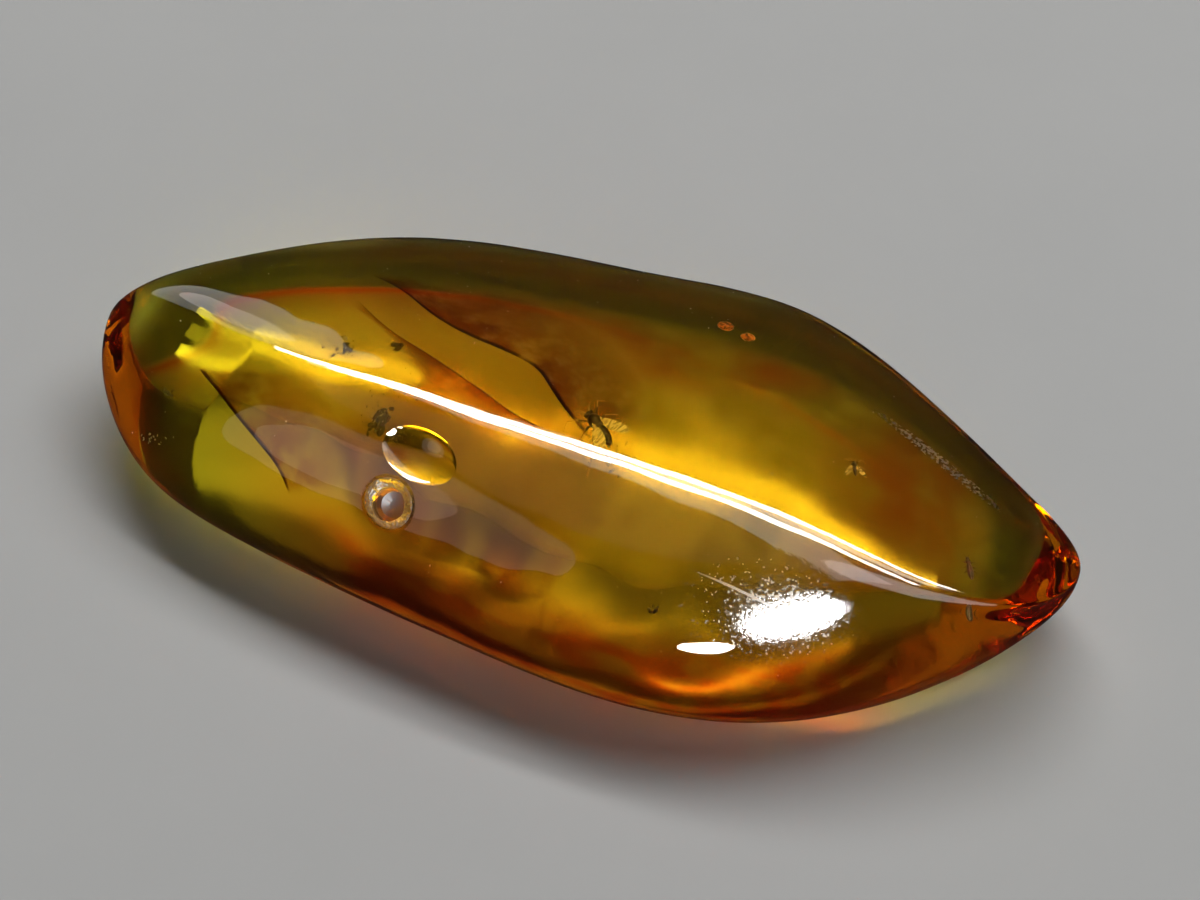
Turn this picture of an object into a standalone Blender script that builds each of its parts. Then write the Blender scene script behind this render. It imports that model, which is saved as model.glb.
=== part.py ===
"""A polished, drop-shaped piece of amber with a gnat, a midge, a small beetle and flecks of bark in it.

The stone lies on its ground base with its long axis along X. Its form is a loft: eleven cross-sections from
the left tip to the right tip, each a closed B-spline of ten points. Three thin seams between old flows of
resin curve through it. The stone is parted by a level cut, so that each inclusion and each seam lies in a
hollow of its own that opens at the cut. Metres, +Z up, origin in the middle of the base.
"""
import math

import bmesh
import bpy
import numpy as np
from mathutils import Euler, Matrix, Vector, noise

MM = 0.001

# ---- stone: sizes in millimetres ----
HALF_LENGTH = 26.35          # tip to tip is twice this
SEGMENTS_ROUND = 44
SEGMENTS_ALONG = 48
PARTING_Z = 5.0              # level of the cut between the halves
PARTING_GAP = 0.3

# One value for each of the eleven cross-sections, left tip first.
FAR_RIM_Y = (1.1, 4.7, 8.7, 12.7, 14.7, 15.1, 14.9, 10.9, 6.0, 2.3, -0.7)
FAR_RIM_Z = (5.0, 4.8, 4.4, 4.4, 4.4, 4.4, 4.4, 4.4, 4.6, 4.8, 4.8)
CREST_Y = (1.1, 0.9, -0.5, -3.3, -4.7, -5.7, -6.5, -7.3, -7.1, -4.9, -0.7)
CREST_Z = (5.0, 7.6, 9.8, 11.2, 11.9, 12.0, 11.8, 10.8, 8.6, 6.6, 4.8)
NEAR_RIM_Y = (1.1, -3.2, -7.3, -9.7, -11.8, -13.8, -14.7, -12.5, -8.0, -3.7, -0.7)
NEAR_RIM_Z = (5.0, 4.4, 4.0, 3.8, 3.8, 3.8, 3.8, 3.8, 4.0, 4.6, 4.8)
BASE_FAR_Y = (1.1, 2.6, 5.1, 7.5, 8.5, 8.7, 8.1, 6.5, 4.3, 1.5, -0.7)
BASE_NEAR_Y = (1.1, -0.9, -3.4, -5.4, -6.9, -7.9, -8.4, -7.4, -4.5, -2.1, -0.7)
BASE_Z = (5.0, 2.2, 0.3, -0.2, -0.3, -0.3, -0.3, -0.2, 0.4, 2.3, 4.8)

# ---- marks on the near flank ----
DIMPLE_AT = (-6.2, -8.1, 11.0)
DIMPLE_SEMI_AXES = (2.5, 1.75, 1.0)
DIMPLE_TURN = (math.radians(22), math.radians(6), math.radians(-12))
PIT_AT = (-7.0, -9.7, 8.8)
PIT_DIRECTION = (-0.05, -0.66, 0.75)
PIT_RADIUS = 0.85
PIT_DEPTH = 1.5
PIT_CHIP_RADIUS = 1.25
PIT_CHIP_DEPTH = 0.35

# ---- inclusions: place in plan, heading in degrees, sizes ----
POCKET_CLEARANCE = 0.35
GNAT_AT = (1.35, -1.5)
GNAT_HEADING = 146
GNAT_BODY = 2.3              # head to tip of abdomen
MIDGE_AT = (13.65, 0.0)
MIDGE_HEADING = 110
MIDGE_BODY = 1.1
BEETLE_AT = (20.6, -3.6)
BEETLE_HEADING = 113
BEETLE_BODY = 1.5
FLECKS = {                   # name: (x, y, length, width, turn in degrees)
    "bark_fleck_west": (-20.4, -2.6, 0.9, 0.45, 20),
    "bark_fleck_left": (-12.5, -0.1, 1.0, 0.5, 35),
    "bark_fleck_middle": (-10.1, 0.5, 0.9, 0.55, -25),
    "bark_fleck_dark": (-9.3, -2.2, 1.5, 0.8, 60),
    "bark_fleck_front": (7.0, -8.9, 0.7, 0.4, 10),
}
FLECK_THICKNESS = 0.32
FLECK_ROUGHNESS = 0.22

# ---- flow seams: the sharp edge, then the edge where the seam fades out. Points (x, y, z). ----
FLOW_SEAMS = {
    "flow_seam_long": (
        ((-13.2, 3.1, 6.2), (-10.8, 1.1, 6.9), (-8.0, -0.4, 7.4), (-5.9, -1.2, 7.1), (-4.1, -1.7, 6.4),
         (-2.5, -2.2, 6.2), (-0.9, -2.5, 6.1)),
        ((-13.4, 2.9, 5.0), (-11.4, 1.4, 6.0), (-9.4, -0.3, 6.6), (-7.2, -1.4, 6.1), (-5.3, -1.5, 4.9),
         (-3.5, -2.0, 5.1), (-1.6, -2.7, 5.6)),
    ),
    "flow_seam_short": (
        ((-13.5, 5.8, 5.3), (-11.4, 4.8, 5.3), (-8.9, 3.1, 5.3), (-6.1, 2.1, 5.2), (-3.3, 1.3, 5.0),
         (-1.8, 0.1, 4.6), (-0.2, -0.9, 3.8), (1.0, -1.3, 3.3)),
        ((-12.6, 6.7, 3.4), (-10.5, 6.5, 2.8), (-8.0, 6.6, 2.4), (-5.4, 6.9, 2.2), (-2.4, 6.0, 2.1),
         (0.3, 4.5, 2.0), (2.4, 2.0, 2.0), (3.5, -0.4, 2.0)),
    ),
    "flow_seam_left": (
        ((-19.2, -1.1, 5.3), (-17.8, -2.1, 5.3), (-15.6, -3.7, 5.2), (-13.7, -5.2, 5.1), (-12.6, -6.8, 5.0)),
        ((-14.8, 0.2, 3.8), (-12.7, -0.4, 3.7), (-11.0, -1.3, 3.5), (-10.2, -2.7, 3.4), (-10.6, -4.5, 3.3)),
    ),
}
SEAM_THICKNESS = 0.2
SEAM_BORDER = 0.1            # how far the solid reaches past the seam's edges
SEAM_CLEARANCE = 0.3
SEAM_RIPPLE = 0.3
SEAM_SEGMENTS = (10, 3)      # along it and across it


def clear_scene():
    for obj in list(bpy.data.objects):
        bpy.data.objects.remove(obj, do_unlink=True)


def material(name, color, roughness, transmission=0.0, alpha=1.0):
    mat = bpy.data.materials.new(name)
    mat.use_nodes = True
    shader = mat.node_tree.nodes["Principled BSDF"]
    shader.inputs["Base Color"].default_value = (*color, 1.0)
    shader.inputs["Roughness"].default_value = roughness
    shader.inputs["Metallic"].default_value = 0.0
    shader.inputs["Transmission Weight"].default_value = transmission
    shader.inputs["IOR"].default_value = 1.54
    shader.inputs["Alpha"].default_value = alpha
    return mat


def add_object(name, bm, mat, smooth=True):
    """Write the bmesh, in millimetres, to a new object in metres."""
    bmesh.ops.transform(bm, matrix=Matrix.Scale(MM, 4), verts=bm.verts)
    bmesh.ops.recalc_face_normals(bm, faces=bm.faces)
    mesh = bpy.data.meshes.new(name)
    bm.to_mesh(mesh)
    bm.free()
    if smooth:
        mesh.shade_smooth()
        mesh.set_sharp_from_angle(angle=math.radians(35))
    obj = bpy.data.objects.new(name, mesh)
    bpy.context.scene.collection.objects.link(obj)
    if mat:
        mesh.materials.append(mat)
    return obj


def add_cutter(name, bm):
    obj = add_object(name, bm, None, smooth=False)
    obj.hide_render = True
    obj.display_type = "WIRE"
    return obj


def boolean(target, operand, operation):
    mod = target.modifiers.new(operand.name, "BOOLEAN")
    mod.operation = operation
    mod.solver = "EXACT"
    mod.object = operand


# ---- the stone's form ----

def natural_curve(values):
    """Return the natural cubic through evenly spaced values, as a function of 0 to 1."""
    knots = np.array(values, float)
    last = len(knots) - 1
    matrix = np.eye(last + 1)
    right = np.zeros(last + 1)
    for i in range(1, last):
        matrix[i, i - 1:i + 2] = (1, 4, 1)
        right[i] = 6 * (knots[i - 1] - 2 * knots[i] + knots[i + 1])
    bend = np.linalg.solve(matrix, right)

    def curve(s):
        i = min(int(s * last), last - 1)
        t = s * last - i
        u = 1 - t
        straight = u * knots[i] + t * knots[i + 1]
        return straight + ((u ** 3 - u) * bend[i] + (t ** 3 - t) * bend[i + 1]) / 6

    return curve


CURVES = [natural_curve(values) for values in (
    FAR_RIM_Y, FAR_RIM_Z, CREST_Y, CREST_Z, NEAR_RIM_Y, NEAR_RIM_Z, BASE_FAR_Y, BASE_NEAR_Y, BASE_Z)]


def blend(a, b, k):
    return a + (b - a) * k


def section_points(s):
    """The ten control points (y, z) of the cross-section at s, from the far rim over the crest."""
    far_y, far_z, crest_y, crest_z, near_y, near_z, base_far, base_near, base_z = [c(s) for c in CURVES]
    return (
        (far_y, far_z),
        (blend(crest_y, far_y, 0.62), blend(crest_z, far_z, 0.42)),
        (blend(crest_y, far_y, 0.12), crest_z),
        (blend(crest_y, near_y, 0.18), blend(crest_z, near_z, 0.02)),
        (blend(crest_y, near_y, 0.72), blend(crest_z, near_z, 0.38)),
        (near_y, near_z),
        (blend(near_y, base_near, 0.35), blend(near_z, base_z, 0.75)),
        (base_near, base_z),
        (base_far, base_z),
        (blend(far_y, base_far, 0.35), blend(far_z, base_z, 0.55)),
    )


def stone_point(s, turn):
    """The point of the surface at s along the stone (0 to 1) and turn round it (0 to 1)."""
    points = section_points(s)
    place = (turn % 1.0) * len(points)
    first = int(place)
    t = place - first
    weights = ((1 - t) ** 3, 3 * t ** 3 - 6 * t ** 2 + 4, -3 * t ** 3 + 3 * t ** 2 + 3 * t + 1, t ** 3)
    y = sum(w * points[(first + k - 1) % len(points)][0] for k, w in enumerate(weights)) / 6
    z = sum(w * points[(first + k - 1) % len(points)][1] for k, w in enumerate(weights)) / 6
    return Vector((-HALF_LENGTH * math.cos(math.pi * s), y, z))


def stone_form():
    """A sphere with its poles along X, each point moved onto the stone, and the base ground flat."""
    bm = bmesh.new()
    bmesh.ops.create_uvsphere(bm, u_segments=SEGMENTS_ROUND, v_segments=SEGMENTS_ALONG, radius=1)
    bmesh.ops.rotate(bm, verts=bm.verts, matrix=Matrix.Rotation(math.radians(90), 3, "Y"))
    for v in bm.verts:
        along = math.acos(max(-1.0, min(1.0, -v.co.x))) / math.pi
        turn = math.atan2(v.co.z, v.co.y) / (2 * math.pi)
        v.co = stone_point(along, turn)
    cut_level(bm, 0.0, keep_above=True)
    return bm


def cut_level(bm, z, keep_above):
    """Cut away all below (or above) the level and close the cut with one face."""
    geometry = bm.verts[:] + bm.edges[:] + bm.faces[:]
    bmesh.ops.bisect_plane(bm, geom=geometry, plane_co=(0, 0, z), plane_no=(0, 0, 1), dist=1e-5,
                           clear_inner=keep_above, clear_outer=not keep_above)
    bmesh.ops.contextual_create(bm, geom=[e for e in bm.edges if e.is_boundary])


# ---- simple solids ----

def ellipsoid(semi_axes, at, turn=(0, 0, 0), fine=2):
    bm = bmesh.new()
    bmesh.ops.create_icosphere(bm, subdivisions=fine, radius=1)
    bmesh.ops.scale(bm, vec=semi_axes, verts=bm.verts)
    bmesh.ops.rotate(bm, verts=bm.verts, matrix=Euler(turn).to_matrix())
    bmesh.ops.translate(bm, vec=at, verts=bm.verts)
    return bm


def limb(points, radii, sides=5):
    """A closed tube through the points: a ring extruded from point to point, both ends capped."""
    points = [Vector(p) for p in points]
    bm = bmesh.new()
    ring = []
    for i, point in enumerate(points):
        ahead = points[min(i + 1, len(points) - 1)] - points[max(i - 1, 0)]
        spin = ahead.to_track_quat("Z", "Y").to_matrix()
        if not ring:
            made = bmesh.ops.create_circle(bm, segments=sides, radius=1, cap_ends=True)
            ring = made["verts"]
        else:
            edges = [e for e in bm.edges if all(v in ring for v in e.verts)]
            made = bmesh.ops.extrude_edge_only(bm, edges=edges)
            ring = [g for g in made["geom"] if isinstance(g, bmesh.types.BMVert)]
        for k, v in enumerate(sorted(ring, key=lambda vert: vert.index)):
            angle = 2 * math.pi * k / sides
            v.co = point + spin @ Vector((radii[i] * math.cos(angle), radii[i] * math.sin(angle), 0))
        bm.verts.index_update()
    bmesh.ops.contextual_create(bm, geom=[e for e in bm.edges if e.is_boundary])
    return bm


def wing(root, length, width, sweep, thickness=0.05):
    """A thin oval plate from the root, swept back by an angle in degrees."""
    bm = bmesh.new()
    bmesh.ops.create_circle(bm, segments=14, radius=0.5, cap_ends=True)
    bmesh.ops.scale(bm, vec=(length, width, 1), verts=bm.verts)
    bmesh.ops.translate(bm, vec=(-length * 0.45, 0, 0), verts=bm.verts)
    grown = bmesh.ops.extrude_face_region(bm, geom=bm.faces[:])
    tops = [g for g in grown["geom"] if isinstance(g, bmesh.types.BMVert)]
    bmesh.ops.translate(bm, vec=(0, 0, thickness), verts=tops)
    bmesh.ops.rotate(bm, verts=bm.verts, matrix=Matrix.Rotation(math.radians(sweep), 3, "Z"))
    bmesh.ops.translate(bm, vec=root, verts=bm.verts)
    return bm


# ---- inclusions ----

def placed(bm, at, heading, scale):
    """Scale the animal from its unit body length, turn it to its heading and set it at the parting."""
    place = (Matrix.Translation((at[0], at[1], PARTING_Z)) @ Matrix.Rotation(math.radians(heading), 4, "Z")
             @ Matrix.Scale(scale, 4))
    bmesh.ops.transform(bm, matrix=place, verts=bm.verts)
    return bm


def fused(name, shapes, at, heading, scale, mat):
    """Join the shapes into one closed body by Boolean union."""
    body = add_object(name, placed(shapes[0], at, heading, scale), mat)
    for i, shape in enumerate(shapes[1:]):
        piece = add_cutter(f"{name}_piece_{i}", placed(shape, at, heading, scale))
        boolean(body, piece, "UNION")
    return body


def fly_shapes(leg_spread, wing_sweeps):
    """A small fly of unit length along +X: abdomen, thorax, head, wings, legs and feelers."""
    shapes = [
        ellipsoid((0.30, 0.10, 0.10), (-0.20, 0, 0.0), (0, math.radians(-6), 0)),
        ellipsoid((0.19, 0.14, 0.15), (0.17, 0, 0.05)),
        ellipsoid((0.095, 0.10, 0.095), (0.39, 0, 0.0)),
    ]
    for side in (-1, 1):
        root = (0.12, side * 0.07, 0.13)
        shapes.append(wing(root, 0.78, 0.24, wing_sweeps[side > 0]))
        for hip, reach in ((0.26, 0.16), (0.17, -0.02), (0.08, -0.22)):
            start = (hip, side * 0.06, -0.04)
            knee = (hip + reach, side * (0.24 + leg_spread), 0.03)
            ankle = (hip + reach * 2.2, side * (0.38 + leg_spread), -0.12)
            toe = (hip + reach * 2.2 - 0.10, side * (0.50 + leg_spread), -0.14)
            shapes.append(limb((start, knee, ankle, toe), (0.026, 0.021, 0.017, 0.012)))
        shapes.append(limb(((0.43, side * 0.04, 0.04), (0.54, side * 0.10, 0.09), (0.62, side * 0.20, 0.08)),
                           (0.016, 0.013, 0.010)))
    return shapes


def beetle_shapes():
    """A slender beetle of unit length along +X: wing cases, neck shield, head, legs and feelers."""
    shapes = [
        ellipsoid((0.34, 0.125, 0.10), (-0.12, 0, 0.0)),
        ellipsoid((0.13, 0.105, 0.09), (0.24, 0, 0.0)),
        ellipsoid((0.09, 0.07, 0.065), (0.41, 0, -0.01)),
    ]
    for side in (-1, 1):
        for hip, reach in ((0.22, 0.09), (0.06, -0.02), (-0.08, -0.10)):
            start = (hip, side * 0.06, -0.04)
            knee = (hip + reach * 0.5, side * 0.17, -0.05)
            toe = (hip + reach, side * 0.27, -0.10)
            shapes.append(limb((start, knee, toe), (0.026, 0.022, 0.015)))
        shapes.append(limb(((0.45, side * 0.03, 0.0), (0.55, side * 0.08, 0.02)), (0.018, 0.013)))
    return shapes


def fleck(name, x, y, length, width, turn, mat):
    """A rough splinter: a flattened ball with its points pushed in and out by a seeded amount."""
    rng = np.random.default_rng(sum(ord(letter) for letter in name))
    bm = bmesh.new()
    bmesh.ops.create_icosphere(bm, subdivisions=2, radius=0.5)
    for v in bm.verts:
        v.co *= 1.0 + FLECK_ROUGHNESS * rng.uniform(-1, 1)
    bmesh.ops.scale(bm, vec=(length, width, FLECK_THICKNESS), verts=bm.verts)
    bmesh.ops.rotate(bm, verts=bm.verts, matrix=Matrix.Rotation(math.radians(turn), 3, "Z"))
    bmesh.ops.translate(bm, vec=(x, y, PARTING_Z), verts=bm.verts)
    return add_object(name, bm, mat, smooth=False)


def pocket(name, at, semi_axes, heading=0.0):
    """The hollow round an inclusion, centred on the parting so that it opens in both halves."""
    grown = [size + POCKET_CLEARANCE for size in semi_axes]
    return add_cutter(name, ellipsoid(grown, (at[0], at[1], PARTING_Z), (0, 0, math.radians(heading))))


def pockets():
    hollows = [
        pocket("gnat_pocket", GNAT_AT, (GNAT_BODY * 0.80, GNAT_BODY * 0.72, GNAT_BODY * 0.32), GNAT_HEADING),
        pocket("midge_pocket", MIDGE_AT, (MIDGE_BODY * 0.80, MIDGE_BODY * 0.72, MIDGE_BODY * 0.32),
               MIDGE_HEADING),
        pocket("beetle_pocket", BEETLE_AT, (BEETLE_BODY * 0.66, BEETLE_BODY * 0.36, BEETLE_BODY * 0.18),
               BEETLE_HEADING),
    ]
    for name, (x, y, length, width, turn) in FLECKS.items():
        semi_axes = (length * 0.62, width * 0.66, FLECK_THICKNESS * 0.66)
        hollows.append(pocket(f"{name}_pocket", (x, y), semi_axes, turn))
    return hollows


# ---- flow seams ----

def ruled(curves, along, across):
    """The point of the straight-ruled surface: along from 0 to 1, across from sharp to fading edge."""
    sharp, fading = [Vector([curve(along) for curve in edge]) for edge in curves]
    return sharp.lerp(fading, across)


def seam_point(curves, along, across, rise):
    """A point at a rise off the seam, whose surface ripples more towards its fading edge."""
    middle = ruled(curves, along, across)
    lengthwise = ruled(curves, along + 0.01, across) - middle
    crosswise = ruled(curves, along, across + 0.01) - middle
    normal = lengthwise.cross(crosswise).normalized()
    ripple = SEAM_RIPPLE * across * noise.noise(middle * 0.55)
    return middle + normal * (rise + ripple)


def seam_plate(edges):
    """A thin closed plate along the seam, which reaches past its edges by the border."""
    curves = [[natural_curve(values) for values in zip(*edge)] for edge in edges]
    length = (ruled(curves, 1, 0.5) - ruled(curves, 0, 0.5)).length
    bm = bmesh.new()
    bmesh.ops.create_grid(bm, x_segments=SEAM_SEGMENTS[0], y_segments=SEAM_SEGMENTS[1], size=0.5)
    under = bm.verts[:]
    grown = bmesh.ops.extrude_face_region(bm, geom=bm.faces[:])
    over = [g for g in grown["geom"] if isinstance(g, bmesh.types.BMVert)]
    for rise, layer in ((-SEAM_THICKNESS / 2, under), (SEAM_THICKNESS / 2, over)):
        for v in layer:
            along = blend(-SEAM_BORDER / length, 1 + SEAM_BORDER / length, v.co.x + 0.5)
            width = (ruled(curves, along, 1) - ruled(curves, along, 0)).length
            across = blend(-SEAM_BORDER / width, 1 + SEAM_BORDER / width, v.co.y + 0.5)
            v.co = seam_point(curves, along, across, rise)
    bmesh.ops.recalc_face_normals(bm, faces=bm.faces)
    return bm


def seam_slots():
    """The hollow round each seam, open at the parting: its plate with every face moved out to clear it."""
    slots = []
    for name, edges in FLOW_SEAMS.items():
        bm = seam_plate(edges)
        bm.normal_update()
        moves = [(v, v.normal * v.calc_shell_factor() * SEAM_CLEARANCE) for v in bm.verts]
        for v, move in moves:
            v.co += move
        slots.append(add_cutter(f"{name}_slot", bm))
    return slots


# ---- marks on the stone ----

def dimple():
    return add_cutter("dimple", ellipsoid(DIMPLE_SEMI_AXES, DIMPLE_AT, DIMPLE_TURN, fine=3))


def pit():
    """A round blind hole with a chipped, funnel-shaped mouth, as one turned cutter."""
    axis = Vector(PIT_DIRECTION).normalized()
    profile = ((PIT_RADIUS * 0.75, -PIT_DEPTH), (PIT_RADIUS, -PIT_DEPTH * 0.8),
               (PIT_RADIUS, -PIT_CHIP_DEPTH), (PIT_CHIP_RADIUS, 0.0), (PIT_CHIP_RADIUS * 1.3, 0.8))
    bm = limb([axis * height for _, height in profile], [radius for radius, _ in profile], sides=20)
    bmesh.ops.translate(bm, vec=PIT_AT, verts=bm.verts)
    return add_cutter("pit", bm)


def main():
    clear_scene()
    amber = material("amber", (0.62, 0.30, 0.03), 0.05, transmission=0.9, alpha=0.45)
    insect = material("insect_brown", (0.06, 0.03, 0.02), 0.45)
    beetle_case = material("beetle_brown", (0.10, 0.05, 0.03), 0.35)
    bark = material("bark", (0.05, 0.03, 0.02), 0.85)
    old_resin = material("old_resin", (0.30, 0.06, 0.01), 0.2, transmission=0.6, alpha=0.6)

    hollows = pockets() + seam_slots()
    lower_form = stone_form()
    cut_level(lower_form, PARTING_Z - PARTING_GAP / 2, keep_above=False)
    lower = add_object("amber_lower", lower_form, amber)
    upper_form = stone_form()
    cut_level(upper_form, PARTING_Z + PARTING_GAP / 2, keep_above=True)
    upper = add_object("amber_upper", upper_form, amber)
    for hollow in hollows:
        boolean(lower, hollow, "DIFFERENCE")
        boolean(upper, hollow, "DIFFERENCE")
    boolean(upper, dimple(), "DIFFERENCE")
    boolean(upper, pit(), "DIFFERENCE")

    fused("gnat", fly_shapes(0.0, (24, -14)), GNAT_AT, GNAT_HEADING, GNAT_BODY, insect)
    fused("midge", fly_shapes(-0.04, (30, -30)), MIDGE_AT, MIDGE_HEADING, MIDGE_BODY, insect)
    fused("beetle", beetle_shapes(), BEETLE_AT, BEETLE_HEADING, BEETLE_BODY, beetle_case)
    for name, sizes in FLECKS.items():
        fleck(name, *sizes, bark)
    for name, edges in FLOW_SEAMS.items():
        add_object(name, seam_plate(edges), old_resin)


main()
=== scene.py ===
"""Insect in amber: a polished, drop-shaped piece of amber with a gnat, a midge, a small beetle, bark crumbs,
flow seams and two bubbles in it, lying on its ground base. Metres, +Z up, origin in the middle of the base.
"""
import math

import bmesh
import bpy
import numpy as np
from mathutils import Euler, Matrix, Vector, noise


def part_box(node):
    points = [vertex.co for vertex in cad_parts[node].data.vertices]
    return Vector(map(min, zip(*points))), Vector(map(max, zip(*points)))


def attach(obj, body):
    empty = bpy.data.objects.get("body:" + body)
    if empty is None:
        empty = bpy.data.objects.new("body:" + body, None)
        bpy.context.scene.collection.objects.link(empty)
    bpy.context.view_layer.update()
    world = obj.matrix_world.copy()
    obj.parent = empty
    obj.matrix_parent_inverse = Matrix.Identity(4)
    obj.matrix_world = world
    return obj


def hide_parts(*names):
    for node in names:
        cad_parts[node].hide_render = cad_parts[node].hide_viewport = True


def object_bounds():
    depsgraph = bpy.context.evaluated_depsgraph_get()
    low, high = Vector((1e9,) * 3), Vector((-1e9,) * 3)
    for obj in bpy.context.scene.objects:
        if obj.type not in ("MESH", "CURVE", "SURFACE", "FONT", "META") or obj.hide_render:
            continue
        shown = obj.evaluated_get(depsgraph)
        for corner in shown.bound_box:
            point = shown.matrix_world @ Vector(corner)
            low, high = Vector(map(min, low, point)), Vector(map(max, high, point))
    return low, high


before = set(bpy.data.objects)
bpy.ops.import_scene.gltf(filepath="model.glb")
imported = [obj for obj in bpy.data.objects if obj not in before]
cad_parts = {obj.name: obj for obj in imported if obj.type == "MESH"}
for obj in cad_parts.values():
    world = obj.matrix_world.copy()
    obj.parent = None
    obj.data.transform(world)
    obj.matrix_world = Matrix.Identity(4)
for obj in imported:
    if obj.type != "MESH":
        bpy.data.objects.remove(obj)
CAD_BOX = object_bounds()

bl_info = {
    "name": "Insect in Amber",
    "version": (1, 0, 0),
    "blender": (4, 5, 0),
    "location": "3D View > Sidebar > Amber",
    "description": "Builds a polished piece of amber with its insects, bark crumbs, seams and bubbles",
    "category": "Object",
}

MM = 0.001

# ---- stone: sizes in millimetres, one value for each of eleven cross-sections from the left tip ----
HALF_LENGTH = 26.35
FAR_RIM_Y = (1.1, 4.7, 8.7, 12.7, 14.7, 15.1, 14.9, 10.9, 6.0, 2.3, -0.7)
FAR_RIM_Z = (5.0, 4.8, 4.4, 4.4, 4.4, 4.4, 4.4, 4.4, 4.6, 4.8, 4.8)
CREST_Y = (1.1, 0.9, -0.5, -3.3, -4.7, -5.7, -6.5, -7.3, -7.1, -4.9, -0.7)
CREST_Z = (5.0, 7.6, 9.8, 11.2, 11.9, 12.0, 11.8, 10.8, 8.6, 6.6, 4.8)
NEAR_RIM_Y = (1.1, -3.2, -7.3, -9.7, -11.8, -13.8, -14.7, -12.5, -8.0, -3.7, -0.7)
NEAR_RIM_Z = (5.0, 4.4, 4.0, 3.8, 3.8, 3.8, 3.8, 3.8, 4.0, 4.6, 4.8)
BASE_FAR_Y = (1.1, 2.6, 5.1, 7.5, 8.5, 8.7, 8.1, 6.5, 4.3, 1.5, -0.7)
BASE_NEAR_Y = (1.1, -0.9, -3.4, -5.4, -6.9, -7.9, -8.4, -7.4, -4.5, -2.1, -0.7)
BASE_Z = (5.0, 2.2, 0.3, -0.2, -0.3, -0.3, -0.3, -0.2, 0.4, 2.3, 4.8)

DIMPLE_AT = (-6.2, -8.1, 11.0)
DIMPLE_SEMI_AXES = (2.5, 1.75, 1.0)
DIMPLE_TURN = (math.radians(22), math.radians(6), math.radians(-12))
PIT_AT = (-7.0, -9.7, 8.8)
PIT_DIRECTION = (-0.05, -0.66, 0.75)
PIT_RADIUS = 0.85
PIT_DEPTH = 1.5
PIT_CHIP_RADIUS = 1.25
PIT_CHIP_DEPTH = 0.35

WORN_AT = (13.6, -10.6, 9.0)             # rubbed patch on the near flank
HALO_AT = (11.6, -10.9, 9.2)             # fine scratches round it
SCRATCH_AT = (10.9, -10.5, 9.6)          # one long scratch
SCUFF_AT = (18.2, 2.4, 7.5)              # long matte scuff on the far flank
GROUND_TOP = 0.40                        # the ground base is matte up to this height
# The colour paints a dark shadow outside this arc, shade just inside it and a red line of light and shade on
# it.
RIM_CENTRE = (-3.9, -27.0, 0)            # a dark rim follows the base's far edge, outside this arc
RIM_RADIUS = 34.0
BASE_STAINS = (                          # reddish stains on the base: place, size, turn in degrees
    ((15.5, 1.5, 0), (3.4, 4.6, 2), 0),
    ((5.5, 6.4, 0), (6.5, 1.8, 2), 20),
    ((-5.0, 6.2, 0), (5.5, 1.5, 2), 12),
    ((-11.0, -0.6, 0), (3.6, 1.8, 2), 0),
)

# Where each tint sets in, from none to full, along, across and up the stone.
FAR_UP, FAR_ACROSS, FAR_ALONG = (6.5, 4.5), (0.0, 4.0), (-19.0, -13.0)
NEAR_UP, NEAR_ACROSS, NEAR_ALONG, NEAR_END = (8.8, 6.2), (-4.5, -8.5), (-15.0, -8.0), (22.0, 17.0)
CRUST_ALONG = (-8.0, 3.0)
LEFT_END = (-13.0, -19.0)
RIM_UP = (1.2, 0.6)

LEFT_TINT = (0.74, 1.0, 0.60)
# The next three colours paint shade, a dark shadow and a red line of light and shade round the base's far
# edge.
RIM_SHADE = (0.52, 0.24, 0.05)
RIM_SHADOW = (0.17, 0.19, 0.06)
RIM_SHADE_LINE_TINT = (0.80, 0.06, 0.01)
CHIP_TINT = (0.80, 0.66, 0.52)

# ---- inclusions ----
MIDDLE_Z = 5.0                            # level at which the inclusions lie
GNAT_AT = (1.35, -1.5)
GNAT_HEADING = 146
GNAT_BODY = 2.3
MIDGE_AT = (13.65, 0.0)
MIDGE_HEADING = 110
MIDGE_BODY = 1.1
BEETLE_AT = (20.6, -3.6)
BEETLE_HEADING = 113
BEETLE_BODY = 1.5

# name of the piece: (CAD node, number of crumbs, seed)
CRUMB_CLUSTERS = {
    "bark_crumbs_west": ("bark_fleck_west", 7, 3),
    "bark_crumbs_left": ("bark_fleck_left", 11, 5),
    "bark_crumbs_middle": ("bark_fleck_middle", 9, 8),
    "bark_crumbs_dark": ("bark_fleck_dark", 26, 13),
    "bark_crumbs_front": ("bark_fleck_front", 6, 21),
}

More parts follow.
